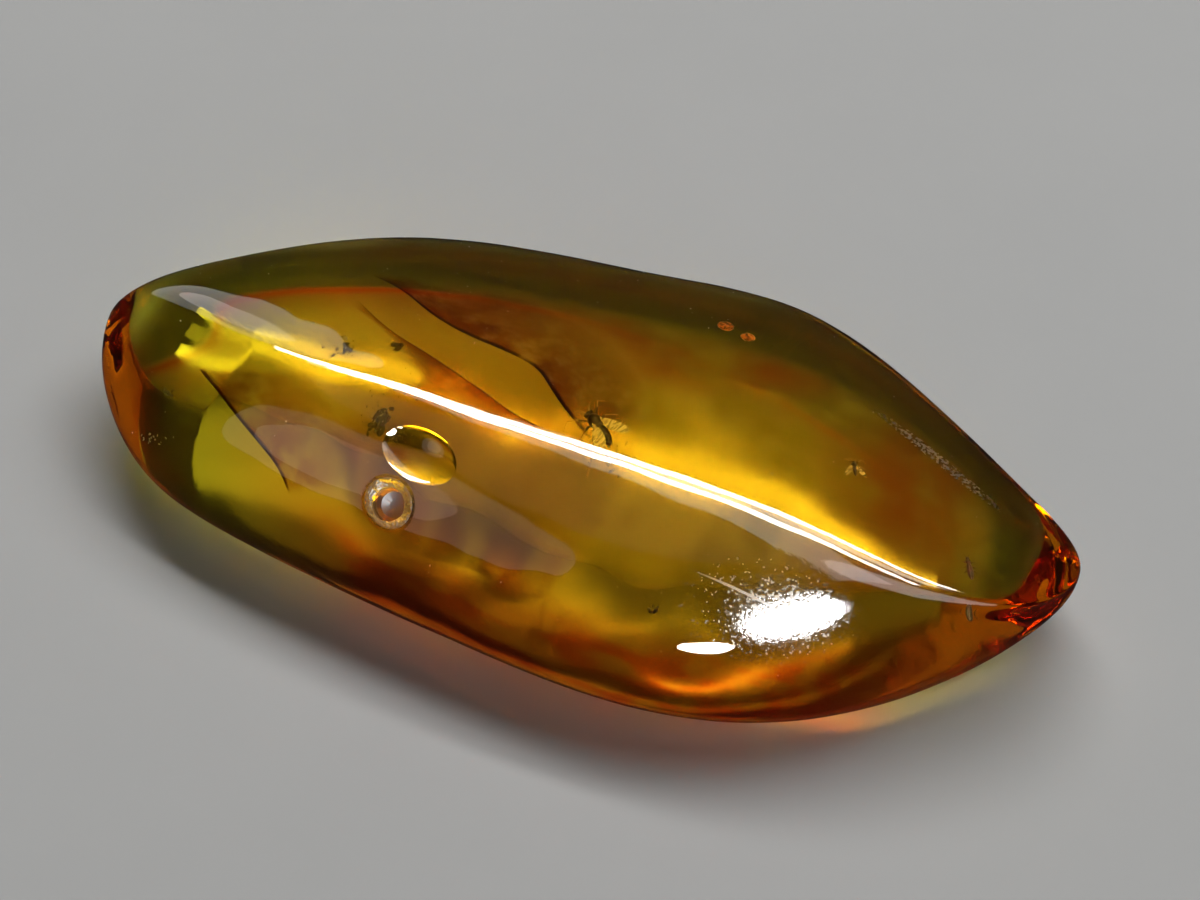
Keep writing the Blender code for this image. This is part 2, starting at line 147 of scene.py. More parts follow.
# Each seam is a film of old flow: its CAD node, its sharp edge, then the edge where it fades out.
SEAMS = {
    "seam_long": (
        "flow_seam_long",
        ((-13.2, 3.1, 6.2), (-10.8, 1.1, 6.9), (-8.0, -0.4, 7.4), (-5.9, -1.2, 7.1), (-4.1, -1.7, 6.4),
         (-2.5, -2.2, 6.2), (-0.9, -2.5, 6.1)),
        ((-13.4, 2.9, 5.0), (-11.4, 1.4, 6.0), (-9.4, -0.3, 6.6), (-7.2, -1.4, 6.1), (-5.3, -1.5, 4.9),
         (-3.5, -2.0, 5.1), (-1.6, -2.7, 5.6)),
    ),
    "seam_short": (
        "flow_seam_short",
        ((-13.5, 5.8, 5.3), (-11.4, 4.8, 5.3), (-8.9, 3.1, 5.3), (-6.1, 2.1, 5.2), (-3.3, 1.3, 5.0),
         (-1.8, 0.1, 4.6), (-0.2, -0.9, 3.8), (1.0, -1.3, 3.3)),
        ((-12.6, 6.7, 3.4), (-10.5, 6.5, 2.8), (-8.0, 6.6, 2.4), (-5.4, 6.9, 2.2), (-2.4, 6.0, 2.1),
         (0.3, 4.5, 2.0), (2.4, 2.0, 2.0), (3.5, -0.4, 2.0)),
    ),
    "seam_left": (
        "flow_seam_left",
        ((-19.2, -1.1, 5.3), (-17.8, -2.1, 5.3), (-15.6, -3.7, 5.2), (-13.7, -5.2, 5.1), (-12.6, -6.8, 5.0)),
        ((-14.8, 0.2, 3.8), (-12.7, -0.4, 3.7), (-11.0, -1.3, 3.5), (-10.2, -2.7, 3.4), (-10.6, -4.5, 3.3)),
    ),
}
SEAM_RIPPLE = 0.3
BUBBLES = ((5.12, 8.26, 5.0, 0.42), (6.42, 7.77, 5.0, 0.38))       # x, y, z, radius

# Clouds of fine specks in the amber: middle, spread, count, size.
SPECK_CLOUDS = (
    ((-12.4, 0.2, 5.0), (1.2, 0.8, 0.5), 26, 0.14),
    ((-9.4, -2.0, 5.4), (1.1, 0.9, 0.8), 70, 0.10),
    ((2.5, -2.6, 5.0), (1.1, 0.5, 0.3), 46, 0.13),
    ((-20.9, -5.6, 5.0), (0.9, 0.4, 0.3), 20, 0.16),
    ((-3.0, 2.0, 4.5), (9.0, 4.0, 1.5), 60, 0.07),
    ((12.5, 1.0, 4.5), (8.0, 3.0, 1.5), 50, 0.07),
)
SPECK_COLOR = (0.20, 0.18, 0.16)
DUST_SIZE = (0.035, 0.055)                # smallest grain, and how much the largest is over it

SWELL = 0.05                              # how far the hand polish rises and falls
STONE_RINGS = 250
STONE_SPOKES = 220
FLAT = 1e-5                               # points closer to the base than this are ground flat

# ---- stage ----
FLOOR_HALF_SIZE = 3000.0
FLOOR_GAP = 0.06
LIGHTS_AIM = (0, 0, 6.0)
CAMERA_AIM = (1.05, 0.1, 5.0)
ROOM_GREY = 0.012

# Lights of the room: turn and side in degrees, distance, width and height in metres, power in watts.
ROOM_LIGHTS = (
    ("strip_far", 62, 12, 0.75, 1.05, 0.060, 4.2),
    ("strip_middle", 68.5, 12, 0.75, 1.05, 0.09, 1.9),
    ("strip_near", 75, 12, 0.75, 1.05, 0.060, 4.2),
    ("ceiling", 92, 0, 0.9, 1.1, 0.7, 0.4),
    ("bulb", 152, 7, 0.65, 0.10, 0.10, 0.9),
)

# Dim lights low behind the stone, seen in its near flank: turn, side, distance, width, height, brightness.
LOW_LIGHTS = (
    ("backdrop", 25, -6, 0.9, 0.80, 0.35, 0.09),
    ("left_glow", 36, 15, 0.9, 0.30, 0.30, 0.40),
    ("streak_long", 17, -2, 0.9, 0.16, 0.035, 4.0),
    ("streak_right", 16, -11, 0.9, 0.12, 0.05, 1.2),
    ("streak_short", 29, 4, 0.9, 0.10, 0.012, 3.0),
)

# Lights seen only as reflections on the polish: turn, side, distance, width, height, brightness.
SHEENS = (
    ("far_line", 62, 12, 0.74, 1.05, 0.06, 9.0),
    ("near_line", 75, 12, 0.74, 1.05, 0.06, 9.0),
    ("near_fringe", 86, 8, 0.74, 1.05, 0.22, 2.2),
    ("bulb_glare", 152, 7, 0.65, 0.26, 0.34, 60.0),
    ("small_bulb", 169, -11, 0.65, 0.13, 0.09, 40.0),
    ("left_sheen", 24, -17, 0.9, 0.22, 0.46, 1.0),
    ("left_fringe", 22, -19, 0.9, 0.44, 0.80, 0.8),
    ("pit_sheen", 132, -50, 0.9, 0.28, 0.48, 0.45),
    ("pit_fringe", 131, -50, 0.9, 0.48, 0.76, 0.40),
    ("end_sheen", 125, 36, 0.65, 0.22, 0.80, 2.5),
)


# ---- settings ----

def color_setting(name, description, color):
    return bpy.props.FloatVectorProperty(name=name, description=description, subtype="COLOR", size=3, min=0,
                                         max=1, default=color)


class StoneSettings(bpy.types.PropertyGroup):
    """Sizes and colours of the stone."""
    absorption_color: color_setting("Depth Colour", "Colour that the amber takes with depth",
                                     (0.97, 0.85, 0.04))
    absorption_density: bpy.props.FloatProperty(
        name="Depth Density", description="How fast the amber takes its colour, per metre", default=215.0,
        min=0)
    ior: bpy.props.FloatProperty(
        name="Refraction", description="Index of refraction of amber", default=1.54, min=1, max=3)
    # The far tint is painted shade: it darkens the lower far flank olive.
    far_shade_tint: color_setting("Far Tint", "Colour of the painted shade on the far flank", (0.25, 0.29, 0.08))
    near_tint: color_setting("Near Tint", "Colour of the weathered flank on the near side",
                              (0.80, 0.05, 0.01))
    crust_tint: color_setting("Crust Tint", "Colour of the thin crust on the base", (0.50, 0.49, 0.22))
    base_tint: color_setting("Base Tint", "Colour of the stains on the base", (0.42, 0.13, 0.04))
    pit_color: color_setting("Pit Colour", "Colour of the dirt in the pit", (0.20, 0.06, 0.02))
    base_roughness: bpy.props.FloatProperty(
        name="Base Roughness", description="How matte the ground base is", default=0.12, min=0, max=1)
    base_waviness: bpy.props.FloatProperty(
        name="Base Waviness", description="How far the ground base rises and falls", unit="LENGTH",
        default=0.00008, min=0, max=0.001, precision=5)


class InsectSettings(bpy.types.PropertyGroup):
    """Colours of the insects."""
    body_color: color_setting("Body", "Colour of the gnat's and midge's bodies", (0.030, 0.014, 0.018))
    leg_color: color_setting("Legs", "Colour of the gnat's and midge's legs", (0.30, 0.19, 0.10))
    wing_color: color_setting("Wings", "Colour of the wings", (0.62, 0.50, 0.34))
    beetle_color: color_setting("Beetle", "Colour of the beetle's wing cases", (0.055, 0.020, 0.030))


class InclusionSettings(bpy.types.PropertyGroup):
    """Colours and amounts of the bark, seams, bubbles and specks."""
    bark_color: color_setting("Bark", "Colour of the bark crumbs", (0.035, 0.022, 0.016))
    seam_color: color_setting("Seams", "Colour of the flow seams", (0.45, 0.13, 0.04))
    seam_thickness: bpy.props.FloatProperty(
        name="Seam Thickness", description="Thickness of a flow seam", unit="LENGTH", default=0.00002,
        min=0.000005, max=0.0002, precision=6)
    bubble_color: color_setting("Bubbles", "Colour of the film round the bubbles", (0.45, 0.14, 0.02))
    dust_count: bpy.props.IntProperty(
        name="Dust", description="Number of dust grains on the polish", default=150, min=0, max=2000)


class StageSettings(bpy.types.PropertyGroup):
    """Floor, lights and camera."""
    floor_color: color_setting("Floor", "Colour of the floor", (0.25, 0.25, 0.245))
    azimuth: bpy.props.FloatProperty(
        name="Camera Azimuth", description="Angle of the camera round the stone", subtype="ANGLE",
        default=math.radians(17))
    elevation: bpy.props.FloatProperty(
        name="Camera Elevation", description="Angle of the camera above the floor", subtype="ANGLE",
        default=math.radians(48))
    distance: bpy.props.FloatProperty(
        name="Camera Distance", description="Distance of the camera from the stone", unit="LENGTH",
        default=0.2)
    lens: bpy.props.FloatProperty(
        name="Lens", description="Focal length in millimetres on a 36 mm sensor", default=117.0, min=1)


# ---- shader helpers ----

class Value:
    """A node's output with arithmetic: an expression adds the Math nodes it needs."""

    def __init__(self, graph, socket):
        self.graph = graph
        self.socket = socket

    def math(self, operation, *others, clamp=False):
        inputs = {i: v for i, v in enumerate((self, *others))}
        return self.graph.node("ShaderNodeMath", {"operation": operation, "use_clamp": clamp}, inputs)

    def __add__(self, other):
        return self.math("ADD", other)

    __radd__ = __add__

    def __sub__(self, other):
        return self.math("SUBTRACT", other)

    def __rsub__(self, other):
        return self.graph.node("ShaderNodeMath", {"operation": "SUBTRACT"}, {0: other, 1: self})

    def __mul__(self, other):
        return self.math("MULTIPLY", other)

    __rmul__ = __mul__

    def __pow__(self, other):
        return self.math("POWER", other)

    def clamped(self):
        return self.math("ADD", 0.0, clamp=True)

    def step(self, low, high):
        """0 below low, 1 above high, smooth between."""
        return self.graph.node("ShaderNodeMapRange", {"interpolation_type": "SMOOTHSTEP", "clamp": True},
                               {"Value": self, "From Min": low, "From Max": high})


class Graph:
    """The node tree of one new material, with its Principled shader."""

    def __init__(self, name):
        self.material = bpy.data.materials.new(name)
        self.material.use_nodes = True
        self.tree = self.material.node_tree
        self.shader = self.tree.nodes["Principled BSDF"]
        self.end = self.tree.nodes["Material Output"]

    def node(self, kind, settings=None, inputs=None, output=0):
        made = self.tree.nodes.new(kind)
        for key, value in (settings or {}).items():
            if key == "stops":
                self.set_stops(made.color_ramp, value)
            else:
                setattr(made, key, value)
        self.feed(made, inputs or {})
        return Value(self, made.outputs[output])

    @staticmethod
    def set_stops(ramp, stops):
        while len(ramp.elements) < len(stops):
            ramp.elements.new(0.5)
        for element, (position, color) in zip(ramp.elements, stops):
            element.position = position
            element.color = (*color, 1.0)

    def feed(self, node, inputs):
        for key, value in inputs.items():
            socket = node.inputs[key]
            if isinstance(value, Value):
                self.tree.links.new(value.socket, socket)
            elif socket.type == "RGBA":
                socket.default_value = (*value[:3], 1.0)
            else:
                socket.default_value = value

    def shade(self, **inputs):
        """Set or link the shader's sockets; an underscore in a name stands for a space."""
        self.feed(self.shader, {key.replace("_", " "): value for key, value in inputs.items()})
        return self.material

    def place(self):
        return self.node("ShaderNodeTexCoord", output="Object")

    def part(self, vector, axis):
        """One of a vector's three numbers."""
        return self.node("ShaderNodeSeparateXYZ", {}, {0: vector}, output=axis)

    def noise(self, vector, scale, detail=2.0, roughness=0.5):
        return self.node("ShaderNodeTexNoise", {}, {"Vector": vector, "Scale": scale, "Detail": detail,
                                                    "Roughness": roughness})

    def mapped(self, vector, at=(0, 0, 0), turn=(0, 0, 0), size=(1, 1, 1)):
        """The place measured in a frame of its own: from its centre, turned, in units of its size."""
        return self.node("ShaderNodeMapping", {"vector_type": "TEXTURE"},
                         {"Vector": vector, "Location": at, "Rotation": turn, "Scale": size})

    def length(self, vector):
        return self.node("ShaderNodeVectorMath", {"operation": "LENGTH"}, {0: vector}, output="Value")

    def mix(self, factor, a, b):
        return self.node("ShaderNodeMix", {"data_type": "RGBA"}, {0: factor, 6: a, 7: b}, output=2)

    def bump(self, height):
        """The normal of a surface raised by that height, in millimetres."""
        return self.node("ShaderNodeBump", {}, {"Strength": 1.0, "Distance": MM, "Height": height})

    def reach(self, vector, at, size, turn=(0, 0, 0)):
        """How far the vector is from the place, in units of the size; place and size in millimetres."""
        return self.length(self.mapped(vector, [c * MM for c in at], turn, [c * MM for c in size]))

    def patch(self, vector, at, size, turn=(0, 0, 0), edge=0.35):
        """1 inside an ellipsoid of that size in millimetres, 0 outside, with a soft edge."""
        return self.reach(vector, at, size, turn).step(1.0 + edge, 1.0 - edge)


def absorb(graph, color, density):
    """Give the material's inside a plain absorption."""
    inside = graph.node("ShaderNodeVolumeAbsorption", {}, {"Color": color, "Density": density})
    graph.tree.links.new(inside.socket, graph.end.inputs["Volume"])


def amber_material(settings):
    """Clear polished amber: matte on its ground base, dirty in the pit, rubbed and scuffed in places."""
    g = Graph("amber")
    place = g.place()
    along, side, height = [g.part(place, axis) * (1 / MM) for axis in "XYZ"]
    cloud = g.noise(place, 240, 2.0, 0.6)
    grain = g.noise(place, 5200, 1.0, 0.6)
    spots = grain.step(0.50, 0.60)
    sparks = grain.step(0.64, 0.70)

    ground = height.step(GROUND_TOP, GROUND_TOP * 0.4)
    # Painted shade on the lower far flank, above the ground base and away from the left end.
    far_painted_shade = (height.step(*FAR_UP) - ground) * side.step(*FAR_ACROSS) * along.step(*FAR_ALONG)
    streaks = g.noise(g.mapped(place, turn=(0, 0, math.radians(-20)), size=(4, 1, 1)), 900, 1.0, 0.6)
    near_flank = (height.step(*NEAR_UP) * side.step(*NEAR_ACROSS) * along.step(*NEAR_ALONG)
                  * along.step(*NEAR_END) * (streaks.step(0.35, 0.60) * 0.2 + 0.8))
    stain = 0.0
    for at, size, turn in BASE_STAINS:
        stain = stain + g.patch(place, at, size, (0, 0, math.radians(turn)), edge=0.8)
    stain = (stain * ground * (cloud.step(0.30, 0.62) * 0.8 + 0.2)).clamped()
    crust = ground * (along.step(*CRUST_ALONG) * 0.9 + 0.1) * (cloud.step(0.60, 0.35) * 0.5 + 0.5)

    # Painted shade round the base's far edge: shade just inside it, a dark shadow outside it and a red line
    # on it.
    rim = g.reach(place, RIM_CENTRE, (1, 1, 1))
    low = height.step(*RIM_UP)
    rim_shade = rim.step(RIM_RADIUS - 3.5, RIM_RADIUS) * low * 0.85
    rim_shadow = rim.step(RIM_RADIUS - 0.1, RIM_RADIUS + 0.5) * low
    rim_shade_line = rim.step(RIM_RADIUS - 0.5, RIM_RADIUS) * rim.step(RIM_RADIUS + 0.35, RIM_RADIUS) * low

    axis = Vector(PIT_DIRECTION).normalized()
    lean = axis.to_track_quat("Z", "Y").to_euler()
    pit_middle = Vector(PIT_AT) - axis * (PIT_DEPTH * 0.5 + 0.2)
    pit_size = (PIT_RADIUS * 1.04, PIT_RADIUS * 1.04, PIT_DEPTH * 0.62)
    in_pit = g.patch(place, pit_middle, pit_size, lean, edge=0.06)
    chipped = (g.patch(place, PIT_AT, (1.38, 1.38, 0.9), lean, edge=0.12) - in_pit).clamped()
    worn = g.patch(place, WORN_AT, (3.0, 2.2, 2.2), (0, math.radians(16), 0), edge=0.7)
    halo = g.patch(place, HALO_AT, (5.2, 2.6, 2.6), (0, math.radians(14), 0), edge=0.6)
    scratch = g.patch(place, SCRATCH_AT, (2.3, 0.05, 0.6), (0, math.radians(10), math.radians(-5)), edge=0.6)
    scuff = g.patch(place, SCUFF_AT, (3.9, 0.42, 1.2), (0, math.radians(11), math.radians(-25)), edge=0.5)

    roughness = (0.002 + ground * settings.base_roughness + worn * (0.12 + spots * 0.16)
                 + halo * sparks * 0.25 + scuff * (spots * 0.4 + 0.25) + scratch * 0.35 + in_pit * 0.4
                 + chipped * 0.42).clamped()
    # The far flank's painted shade goes in first.
    color = g.mix(far_painted_shade, (1, 1, 1), settings.far_shade_tint)
    # The rim colours paint shade, a dark shadow and a red line along the base's far edge.
    for mask, tint in ((along.step(*LEFT_END), LEFT_TINT), (rim_shade, RIM_SHADE), (rim_shadow, RIM_SHADOW),
                       (rim_shade_line, RIM_SHADE_LINE_TINT), (near_flank, settings.near_tint),
                       (crust, settings.crust_tint), (stain, settings.base_tint),
                       (in_pit, settings.pit_color), (chipped * spots * 0.7, CHIP_TINT)):
        color = g.mix(mask, color, tint)
    relief = grain * (worn * 0.012 + scuff * 0.03 + chipped * 0.09)
    g.shade(Base_Color=color, Roughness=roughness, Normal=g.bump(relief), Transmission_Weight=1.0,
            IOR=settings.ior)
    absorb(g, settings.absorption_color, settings.absorption_density)
    return g.material


def chitin_material(name, color, roughness, spread, scale):
    """Hard insect skin: mottled colour with a fine uneven surface."""
    g = Graph(name)
    place = g.place()
    mottle = g.noise(place, scale, 3.0, 0.6)
    dark = [c * (1 - spread) for c in color]
    light = [min(1.0, c * (1 + spread)) for c in color]
    return g.shade(Base_Color=g.mix(mottle.step(0.35, 0.65), dark, light),
                   Roughness=(mottle * 0.25 + (roughness - 0.12)).clamped(),
                   Normal=g.bump(g.noise(place, scale * 3, 2.0) * 0.01))


def wing_material(color):
    """Clear wing skin with smoky cross bands."""
    g = Graph("wing_skin")
    place = g.place()
    across = g.mapped(place, turn=(0, 0, math.radians(60)), size=(1, 0.25, 1))
    bands = g.noise(across, 2600, 1.0).step(0.42, 0.58)
    return g.shade(Base_Color=g.mix(bands, [c * 0.45 for c in color], color), Roughness=bands * 0.2 + 0.25,
                   Alpha=bands * 0.25 + 0.55, Normal=g.bump(bands * 0.01))


def bark_material(color):
    """Dark rough bark with paler fibres."""
    g = Graph("bark")
    place = g.place()
    grain = g.noise(place, 4200, 4.0, 0.7)
    ramp = g.node("ShaderNodeValToRGB", {"stops": ((0.30, [c * 0.4 for c in color]), (0.60, color),
                                                   (0.78, [c * 3.2 for c in color]))}, {"Fac": grain})
    return g.shade(Base_Color=ramp, Roughness=grain * 0.3 + 0.6, Normal=g.bump(grain * 0.03))


def haze_material(color):
    """Fine grey dust caught in the amber, see-through between its grains."""
    g = Graph("fine_dust")
    place = g.place()
    grain = g.noise(place, 5200, 3.0, 0.7)
    return g.shade(Base_Color=g.mix(grain.step(0.4, 0.7), [c * 0.6 for c in color], color),
                   Roughness=grain * 0.2 + 0.7)


def seam_material(color):
    """A see-through reddish film: dark along its sharp edge, and clear at its ends and its fading edge."""
    g = Graph("flow_seam")
    film = g.node("ShaderNodeTexCoord", output="UV")
    along, across = g.part(film, "X"), g.part(film, "Y")
    cloud = g.noise(g.place(), 420, 3.0, 0.65)
    ends = along.step(0.0, 0.10) * (1 - along).step(0.0, 0.12)
    veil = ((1 - across).clamped() ** 0.6 * (cloud.step(0.25, 0.60) * 0.7 + 0.3) * ends).clamped()
    line = across.step(0.07, 0.02) * ends * cloud.step(0.2, 0.5)
    tint = g.mix(veil, (1, 1, 1), color)
    return g.shade(Base_Color=g.mix(line, tint, [c * 0.12 for c in color]), Roughness=cloud * 0.05,
                   Transmission_Weight=1.0, IOR=1.0)


def bubble_material(color):
    """Mottled orange film, see-through in places."""
    g = Graph("bubble_film")
    place = g.place()
    grain = g.noise(place, 4600, 3.0, 0.7)
    tint = g.mix(grain.step(0.42, 0.60), [c * 0.35 for c in color], color)
    return g.shade(Base_Color=tint, Roughness=grain * 0.3 + 0.15, Alpha=grain.step(0.25, 0.5) * 0.5 + 0.5,
                   Normal=g.bump(grain * 0.03))


def dust_material():
    """White grains of dust."""
    g = Graph("white_dust")
    grain = g.noise(g.place(), 900, 2.0)
    return g.shade(Base_Color=g.mix(grain.step(0.4, 0.6), (0.62, 0.58, 0.50), (0.90, 0.89, 0.86)),
                   Roughness=grain * 0.2 + 0.7)


def floor_material(color):
    """Matte, nearly even grey."""
    g = Graph("floor")
    grain = g.noise(g.place(), 60, 5.0, 0.6)
    mottled = g.mix(grain, [c * 0.96 for c in color], [c * 1.04 for c in color])
    return g.shade(Base_Color=mottled, Roughness=0.85, Specular_IOR_Level=0.15)


# ---- mesh helpers ----

def add_object(name, bm, materials=()):
    """Write the bmesh, in millimetres, to a new smooth object in metres."""
    bmesh.ops.transform(bm, matrix=Matrix.Scale(MM, 4), verts=bm.verts)
    mesh = bpy.data.meshes.new(name)
    bm.to_mesh(mesh)
    bm.free()
    mesh.shade_smooth()
    for material in materials:
        mesh.materials.append(material)
    made = bpy.data.objects.new(name, mesh)
    bpy.context.scene.collection.objects.link(made)
    return made


def add_piece(name, bm, materials, smooth_angle, replaces=()):
    """A piece of the stone from the bmesh, which rides on the root body."""
    piece = add_object(name, bm, materials)
    if smooth_angle:
        piece.data.set_sharp_from_angle(angle=math.radians(smooth_angle))
    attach(piece, "root")
    if replaces:
        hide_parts(*replaces)
    return piece


def joined(parts):
    """Gather several bmeshes in one, each with its material's place in the list."""
    whole = bmesh.new()
    for bm, index in parts:
        bmesh.ops.recalc_face_normals(bm, faces=bm.faces)
        for face in bm.faces:
            face.material_index = index
        mesh = bpy.data.meshes.new("part")
        bm.to_mesh(mesh)
        bm.free()
        whole.from_mesh(mesh)
        bpy.data.meshes.remove(mesh)
    return whole


def node_box(node):
    """The CAD node's lowest and highest corner, in millimetres."""
    low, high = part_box(node)
    return Vector(low) / MM, Vector(high) / MM


def fit_inside(bm, low, high):
    """Shrink and shift the bmesh, in millimetres, so that it stays in the box."""
    for axis in range(3):
        values = [v.co[axis] for v in bm.verts]
        small, large = min(values), max(values)
        size = min(1.0, (high[axis] - low[axis]) / (large - small))
        middle = (small + large) / 2
        half = (large - small) / 2 * size
        target = min(max(middle, low[axis] + half), high[axis] - half)
        for v in bm.verts:
            v.co[axis] = target + (v.co[axis] - middle) * size


def ellipsoid(semi_axes, at, turn=(0, 0, 0), fine=3):
    """A ball stretched to its semi-axes, turned and moved to its place."""
    bm = bmesh.new()
    bmesh.ops.create_icosphere(bm, subdivisions=fine, radius=1)
    bmesh.ops.scale(bm, vec=semi_axes, verts=bm.verts)
    bmesh.ops.rotate(bm, verts=bm.verts, matrix=Euler(turn).to_matrix())
    bmesh.ops.translate(bm, vec=at, verts=bm.verts)
    return bm


def limb(points, radii, sides=10, squash=1.0):
    """A closed tube through the points: a ring extruded from point to point, both ends capped."""
    points = [Vector(p) for p in points]
    bm = bmesh.new()
    ring = []
    for i, point in enumerate(points):
        ahead = points[min(i + 1, len(points) - 1)] - points[max(i - 1, 0)]
        spin = ahead.to_track_quat("Z", "Y").to_matrix()
        if not ring:
            ring = bmesh.ops.create_circle(bm, segments=sides, radius=1, cap_ends=True)["verts"]
        else:
            edges = [e for e in bm.edges if all(v in ring for v in e.verts)]
            made = bmesh.ops.extrude_edge_only(bm, edges=edges)
            ring = [g for g in made["geom"] if isinstance(g, bmesh.types.BMVert)]
        for k, v in enumerate(sorted(ring, key=lambda vert: vert.index)):
            angle = 2 * math.pi * k / sides
            v.co = point + spin @ Vector((radii[i] * math.cos(angle), radii[i] * math.sin(angle) * squash, 0))
        bm.verts.index_update()
    bmesh.ops.contextual_create(bm, geom=[e for e in bm.edges if e.is_boundary])
    return bm


def smooth_path(points, steps=4):
    """More points on a smooth curve through the points."""
    points = [Vector(p) for p in points]
    path = []
    for i in range(len(points) - 1):
        before = points[max(i - 1, 0)]
        after = points[min(i + 2, len(points) - 1)]
        for k in range(steps):
            t = k / steps
            a, b = points[i], points[i + 1]
            path.append(0.5 * ((2 * a) + (b - before) * t + (2 * before - 5 * a + 4 * b - after) * t ** 2
                               + (3 * a - before - 3 * b + after) * t ** 3))
    path.append(points[-1])
    return path


def tube(points, start, end, sides=8, steps=3):
    """A smooth limb through the points, whose radius runs evenly from start to end."""
    path = smooth_path(points, steps)
    last = len(path) - 1
    return limb(path, [start + (end - start) * i / last for i in range(len(path))], sides)


# ---- the stone ----

def natural_curve(values, s):
    """The natural cubic through evenly spaced values, at each place s from 0 to 1."""
    knots = np.array(values, float)
    last = len(knots) - 1
    matrix = np.eye(last + 1)
    right = np.zeros(last + 1)
    for i in range(1, last):
        matrix[i, i - 1:i + 2] = (1, 4, 1)
        right[i] = 6 * (knots[i - 1] - 2 * knots[i] + knots[i + 1])
    bend = np.linalg.solve(matrix, right)
    i = np.minimum((s * last).astype(int), last - 1)
    t = s * last - i
    u = 1 - t
    return u * knots[i] + t * knots[i + 1] + ((u ** 3 - u) * bend[i] + (t ** 3 - t) * bend[i + 1]) / 6


def blend(a, b, k):
    return a + (b - a) * k


def stone_points(s, turn):
    """The surface point at each place s along the stone and turn round it, both 0 to 1, in millimetres."""
    far_y, far_z, crest_y, crest_z, near_y, near_z = [natural_curve(values, s) for values in (
        FAR_RIM_Y, FAR_RIM_Z, CREST_Y, CREST_Z, NEAR_RIM_Y, NEAR_RIM_Z)]
    base_far, base_near, base_z = [natural_curve(values, s) for values in (BASE_FAR_Y, BASE_NEAR_Y, BASE_Z)]
    controls = np.array((
        (far_y, far_z),
        (blend(crest_y, far_y, 0.62), blend(crest_z, far_z, 0.42)),
        (blend(crest_y, far_y, 0.12), crest_z),
        (blend(crest_y, near_y, 0.18), blend(crest_z, near_z, 0.02)),
        (blend(crest_y, near_y, 0.72), blend(crest_z, near_z, 0.38)),
        (near_y, near_z),
        (blend(near_y, base_near, 0.35), blend(near_z, base_z, 0.75)),
        (base_near, base_z),
        (base_far, base_z),
        (blend(far_y, base_far, 0.35), blend(far_z, base_z, 0.55)),
    ))
    place = (turn % 1.0) * len(controls)
    first = place.astype(int)
    t = place - first
    weights = ((1 - t) ** 3, 3 * t ** 3 - 6 * t ** 2 + 4, -3 * t ** 3 + 3 * t ** 2 + 3 * t + 1, t ** 3)
    every = np.arange(len(s))
    yz = sum(w * controls[(first + k - 1) % len(controls), :, every].T for k, w in enumerate(weights)) / 6
    return np.column_stack((-HALF_LENGTH * np.cos(math.pi * s), yz[0], yz[1]))


def stone_form(waviness):
    """A sphere with its poles along X, each point moved onto the stone, and the base ground nearly flat."""
    bm = bmesh.new()
    bmesh.ops.create_uvsphere(bm, u_segments=STONE_SPOKES, v_segments=STONE_RINGS, radius=1)
    bmesh.ops.rotate(bm, verts=bm.verts, matrix=Matrix.Rotation(math.radians(90), 3, "Y"))
    sphere = np.array([v.co for v in bm.verts])
    along = np.arccos(np.clip(-sphere[:, 0], -1, 1)) / math.pi
    turn = np.arctan2(sphere[:, 2], sphere[:, 1]) / (2 * math.pi)
    for v, point in zip(bm.verts, stone_points(along, turn)):
        v.co = point
    bm.normal_update()
    for v in bm.verts:
        v.co -= v.normal * SWELL * (0.5 + 0.5 * noise.noise(v.co * 0.16) + 0.35 * noise.noise(v.co * 0.42))
    bmesh.ops.bisect_plane(bm, geom=bm.verts[:] + bm.edges[:] + bm.faces[:], plane_co=(0, 0, 0),
                           plane_no=(0, 0, 1), dist=FLAT)
    base = [v for v in bm.verts if v.co.z < FLAT]
    for v in base:
        depth = min(1.0, max(0.0, -v.co.z) / 0.12)
        lift = 0.5 + 0.5 * noise.noise(v.co * 0.30 + Vector((3.1, 7.7, 0.4)))
        v.co.z = waviness * depth * max(0.0, lift)
    return bm


def sharpen_base(mesh):
    """Keep a crisp edge round the ground base on the otherwise smooth stone."""
    for edge in mesh.edges:
        edge.use_edge_sharp = False
    mesh.set_sharp_from_angle(angle=math.radians(14))


def pit_form():
    """A round blind hole with a chipped, funnel-shaped mouth."""
    axis = Vector(PIT_DIRECTION).normalized()
    profile = ((PIT_RADIUS * 0.30, -PIT_DEPTH), (PIT_RADIUS * 0.80, -PIT_DEPTH * 0.93),
               (PIT_RADIUS * 0.98, -PIT_DEPTH * 0.75), (PIT_RADIUS, -PIT_DEPTH * 0.5),
               (PIT_RADIUS, -PIT_CHIP_DEPTH), (PIT_CHIP_RADIUS * 0.88, -PIT_CHIP_DEPTH * 0.55),
               (PIT_CHIP_RADIUS, 0.0), (PIT_CHIP_RADIUS * 1.3, 0.8))
    bm = limb([axis * height for _, height in profile], [radius for radius, _ in profile], sides=72)
    for v in bm.verts:
        height = v.co.dot(axis)
        out = v.co - axis * height
        if -PIT_CHIP_DEPTH * 0.8 < height < 0.4:
            v.co += out * 0.13 * (noise.noise(v.co * 2.4) + 0.6 * noise.noise(v.co * 7.0))
        else:
            v.co += out * 0.05 * noise.noise(v.co * 3.0)
    bmesh.ops.translate(bm, vec=PIT_AT, verts=bm.verts)
    bmesh.ops.recalc_face_normals(bm, faces=bm.faces)
    return bm


